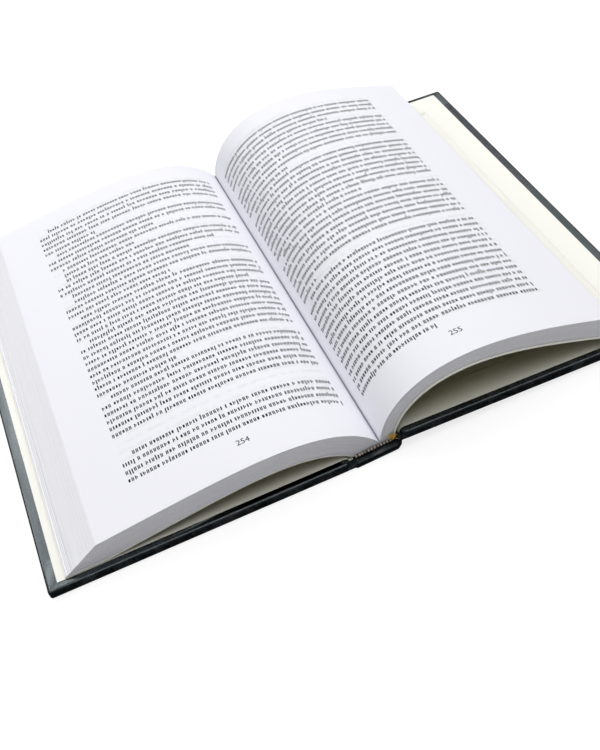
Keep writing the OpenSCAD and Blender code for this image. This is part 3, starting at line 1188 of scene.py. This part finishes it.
def makeSpineCloth():
    half = book["coverHalf"]
    shape = bmesh.new()
    points = [shape.verts.new((p.x, -half, p.y)) for p in spinePath()]
    for pair in zip(points, points[1:]):
        shape.edges.new(pair)
    bmesh.ops.bevel(shape, geom=points[1:-1], offset=spine["rounding"], segments=4,
                    affect="VERTICES", profile=0.5, material=-1)
    swept = bmesh.ops.extrude_edge_only(shape, edges=shape.edges[:])["geom"]
    bmesh.ops.translate(shape, verts=vertsIn(swept), vec=(0, 2 * half, 0))
    for y in (-half + 1.0, -cover["window"], 0.0, cover["window"], half - 1.0):
        cutAt(shape, (0, y, 0), (0, 1, 0))
    turnOut(shape)
    for face in shape.faces:
        face.normal_update()
    if sum(face.normal.z * face.calc_area() for face in shape.faces) > 0:
        bmesh.ops.reverse_faces(shape, faces=shape.faces)
    rub = shape.verts.layers.float.new("rub")
    for v in shape.verts:
        v[rub] = 1.0 - smoothStep(*spine["rimRub"], half - abs(v.co.y))
    piece = finishPiece("spine_cloth", shape, ("leatherette",), ("spine_covering",), 50)
    thickness = piece.modifiers.new("thickness", "SOLIDIFY")
    thickness.thickness = cloth["wall"] * toMetres
    thickness.offset = -1.0
    rounded = piece.modifiers.new("rounded", "BEVEL")
    rounded.width = spine["rimRadius"] * toMetres
    rounded.segments = 2
    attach(piece, "root")


def turnInFace(rise, height, insets, shoulderStep, wallStep):
    # From over the front joint, down and along the inlay, up the shoulder and over the back joint
    path = spinePath()
    over = Vector((0, rise))
    along = [leaning(-book["spineHalf"] + insets[0], height), leaning(book["spineHalf"] - insets[1], height)]
    return [path[0] + over, path[1] + over, *along,
            path[4] + Vector(shoulderStep), path[5] + Vector(wallStep), path[6] + over]


def makeSpineTurnIn():
    # The covering doubled at head and tail: over the joints, down the shoulders and over the inlay
    half, wall, inset = book["coverHalf"], cloth["wall"], spine["endInset"]
    outline = turnInFace(wall, wall, *spine["inside"])
    outline += turnInFace(2 * wall, spine["inlayTop"] + wall, *spine["outside"])[::-1]
    shape = bmesh.new()
    for end in (-1, 1):
        points = [shape.verts.new((p.x, end * (half - inset), p.y)) for p in outline]
        grown = bmesh.ops.extrude_face_region(shape, geom=[shape.faces.new(points)])["geom"]
        bmesh.ops.translate(shape, verts=vertsIn(grown), vec=(0, -end * (cover["turnIn"] - inset), 0))
    # Its edges are rounded at the ends of the case and along it
    rounded = [e for e in shape.edges
               if all(abs(v.co.y) > half - 0.1 for v in e.verts)
               or (e.calc_length() > 10 and abs(e.verts[0].co.x - e.verts[1].co.x) < 0.01)]
    bevelEdges(shape, rounded, spine["hemRadius"], 3)
    rub = shape.verts.layers.float.new("rub")
    for v in shape.verts:
        v[rub] = spine["hemRub"]
    turnOut(shape)
    piece = finishPiece("spine_turn_in", shape, ("leatherette",), (), 50)
    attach(piece, "root")


makeSpineCloth()
makeSpineTurnIn()


# Head and tail bands: threads wound round a cord, and the tail band's frayed end

bands = {
    "beadHeight": 3.9,
    "beadRadius": 0.7,
    "threadRadius": 0.2,
    "width": 16.2,
    "wraps": 48,
    "tape": 12.0,
    "seed": 5,
    "frayStart": (8.4, 5.0),
    "frayCount": 60,
    "evenShare": 0.9,
    "coreRadius": 0.4,
    "tapeFaces": (3.22, 3.38),
    # Least and most of each strand's start, heading and axis, then of its length, turn and radius
    "starts": ((-0.9, 0.5), (-0.4, 0.35), (-0.4, 0.3)),
    "headings": ((-0.75, 0.45), (-0.45, 0.05), (0.5, 1.0)),
    "axes": ((-1, 1), (-1, 1), (-0.4, 0.4)),
    "forms": ((1.2, 2.6), (0.4, 1.7), (0.07, 0.13)),
}


def onSpine(points):
    for v in points:
        place = leaning(v.co.x, v.co.z)
        v.co = (place.x, v.co.y, place.y)


def edgesOf(points):
    # Each edge once, in a fixed order
    return list(dict.fromkeys(e for v in points for e in v.link_edges))


def addRing(shape, x, y, z):
    # A thread once round the cord
    place = Matrix.Translation((x, y, z + bands["beadRadius"] - bands["threadRadius"]))
    ring = bmesh.ops.create_circle(shape, segments=6, radius=bands["threadRadius"], matrix=place)["verts"]
    bmesh.ops.spin(shape, geom=ring + edgesOf(ring), cent=(x, y, z), axis=(1, 0, 0),
                   angle=2 * math.pi, steps=14, use_merge=True)


def makeBand(end):
    name = "tail_band" if end < 0 else "head_band"
    shape = bmesh.new()
    y = end * (book["pageHalf"] + bands["beadRadius"])
    z = bands["beadHeight"]
    reach = bands["width"] / 2
    bmesh.ops.create_cone(
        shape, cap_ends=True, segments=14, radius1=bands["coreRadius"], radius2=bands["coreRadius"],
        depth=bands["width"], matrix=Matrix.Translation((0, y, z)) @ Matrix.Rotation(math.pi / 2, 4, "Y"))
    for face in shape.faces:
        face.material_index = 2
    draw = random.Random(bands["seed"] + end)
    step = bands["width"] / bands["wraps"]
    for i in range(bands["wraps"]):
        before = set(shape.faces)
        tint = i // 2 % 2 if draw.random() < bands["evenShare"] else draw.choice((0, 1))
        addRing(shape, (i + 0.5) * step - reach, y, z)
        for face in set(shape.faces) - before:
            face.material_index = tint
    # The woven tape, glued down the spine
    inner = end * (book["pageHalf"] - bands["tape"])
    low, high = bands["tapeFaces"]
    tape = addBox(shape, (-reach, min(inner, y), low), (reach, max(inner, y), high))
    for face in facesOf(tape):
        face.material_index = 0
    onSpine(shape.verts)
    turnOut(shape)
    piece = finishPiece(name + "_threads", shape, ("pale", "dark", "gold"), (name,), 60)
    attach(piece, "root")


def addStrand(shape, start, heading, bendAxis, length, turn, radius):
    # A thread on one arc, tapering to its end
    heading = heading.normalized()
    bendAxis = (bendAxis - heading * bendAxis.dot(heading)).normalized()
    centre = start + bendAxis.cross(heading).normalized() * (length / turn)
    place = Matrix.Translation(start) @ heading.to_track_quat("Z", "Y").to_matrix().to_4x4()
    ring = bmesh.ops.create_circle(shape, segments=5, radius=radius, matrix=place)["verts"]
    edges = edgesOf(ring)
    bmesh.ops.contextual_create(shape, geom=ring)
    made = bmesh.ops.spin(shape, geom=ring + edges, cent=centre, axis=bendAxis, angle=turn, steps=6)
    last = vertsIn(made["geom_last"])
    middle = sum((v.co for v in last), Vector()) / len(last)
    bmesh.ops.scale(shape, vec=(0.5,) * 3, space=Matrix.Translation(-middle), verts=last)
    bmesh.ops.contextual_create(shape, geom=last)


def makeFray():
    shape = bmesh.new()
    draw = random.Random(bands["seed"])
    place = leaning(*bands["frayStart"])
    foot = Vector((place.x, -book["pageHalf"] - bands["beadRadius"], place.y))
    for _ in range(bands["frayCount"]):
        start, heading, axis, form = ([draw.uniform(*span) for span in bands[name]]
                                      for name in ("starts", "headings", "axes", "forms"))
        addStrand(shape, foot + Vector(start), Vector(heading), Vector(axis), *form)
    turnOut(shape)
    piece = finishPiece("tail_band_fray", shape, ("gold",), (), 60)
    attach(piece, "root")


for end in (-1, 1):
    makeBand(end)
makeFray()


# CAD pieces that stay, in their own finish

kept = {
    "front_board": "board", "back_board": "board", "spine_inlay": "card", "spine_lining": "card",
    "mull": "mull", "front_mull_flange": "mull", "back_mull_flange": "mull",
}
for nodeName, materialName in kept.items():
    mesh = frame["nodes"][nodeName].data
    mesh.materials.clear()
    mesh.materials.append(materials[materialName])
print("kept pieces finished")


# Floor, light and camera

studio = {
    "floorSize": 40.0,
    "floorDrop": 0.00005,
    "floorSeen": (0.32, 0.32, 0.32),
    "floorGlow": (0.66, 0.66, 0.66),
    "floorBounce": (0.72, 0.72, 0.71),
    "floorMirrored": (0.05, 0.05, 0.05),
    "skyColour": (0.10, 0.10, 0.10),
    "wallColour": (0.70, 0.70, 0.70),
    # Place and aim in metres, width and height of the softbox, power
    "lights": {
        "keyLight": ((0.55, 0.80, 1.25), (0.0, 0.0, 0.0), (2.2, 1.4), 14.7),
        "rimLight": ((-0.62, 1.05, 0.98), (-0.13, 0.0, 0.0), (1.3, 0.6), 7.8),
        "topLight": ((0.12, -0.38, 1.46), (0.0, 0.0, 0.0), (1.8, 0.9), 8.9),
        "leftLight": ((-1.1, 0.0, 0.6), (0.0, 0.0, 0.0), (0.9, 0.9), 0.7),
    },
}


def addLight(name, place, aim, size, power):
    lamp = bpy.data.lights.new(name, "AREA")
    lamp.shape = "RECTANGLE"
    lamp.size, lamp.size_y = size
    lamp.energy = power
    holder = addObject(name, lamp)
    holder.location = place
    holder.rotation_euler = (Vector(aim) - Vector(place)).to_track_quat("-Z", "Y").to_euler()


def makeFloor():
    shape = bmesh.new()
    bmesh.ops.create_grid(shape, x_segments=1, y_segments=1, size=studio["floorSize"] / 2)
    mesh = newMesh("floor", shape, 1.0)
    # The camera sees a pale floor with a light shadow; the glossy cloth hardly mirrors it
    material, tree, shader = startMaterial("floorPaper", 0.9, 0.1)
    path = addNode(tree, "ShaderNodeLightPath").outputs
    seen = path["Is Camera Ray"]
    bounce = mixColour(tree, path["Is Glossy Ray"], studio["floorBounce"], studio["floorMirrored"])
    paint(tree, shader, mixColour(tree, seen, bounce, studio["floorSeen"]))
    feed(tree, shader.inputs["Emission Color"], mixColour(tree, seen, (0.0, 0.0, 0.0), studio["floorGlow"]))
    shader.inputs["Emission Strength"].default_value = 1.0
    mesh.materials.append(material)
    floor = addObject("floor", mesh)
    floor.location.z = -studio["floorDrop"]


def makeWorld():
    world = bpy.data.worlds.new("studio")
    world.use_nodes = True
    # A dim sky lights the book, and the camera sees a pale wall
    background = world.node_tree.nodes["Background"]
    seen = addNode(world.node_tree, "ShaderNodeLightPath").outputs["Is Camera Ray"]
    colour = mixColour(world.node_tree, seen, studio["skyColour"], studio["wallColour"])
    world.node_tree.links.new(colour, background.inputs["Color"])
    bpy.context.scene.world = world


camera = {
    "place": (-75.41, -331.35, 316.68),
    "azimuth": -12.895,
    "elevation": 47.314,
    "roll": -12.835,
    "lens": 60.525,
    "sensor": 36.0,
}


def makeCamera():
    # The picture is 600 by 750; the lens is for its width
    data = bpy.data.cameras.new("camera")
    data.sensor_fit = "HORIZONTAL"
    data.sensor_width = camera["sensor"]
    data.lens = camera["lens"]
    data.clip_start = 0.01
    holder = addObject("camera", data)
    turn = Matrix.Rotation(math.radians(camera["azimuth"]), 4, "Z")
    turn = turn @ Matrix.Rotation(math.radians(90 - camera["elevation"]), 4, "X")
    turn = turn @ Matrix.Rotation(math.radians(camera["roll"]), 4, "Z")
    holder.matrix_world = Matrix.Translation(Vector(camera["place"]) * toMetres) @ turn
    bpy.context.scene.camera = holder


makeFloor()
makeWorld()
for name, (place, aim, size, power) in studio["lights"].items():
    addLight(name, place, aim, size, power)
makeCamera()
bpy.context.scene.view_settings.view_transform = "Standard"
bpy.context.scene.view_settings.look = "Medium High Contrast"
print("studio set")

bpy.context.view_layer.update()
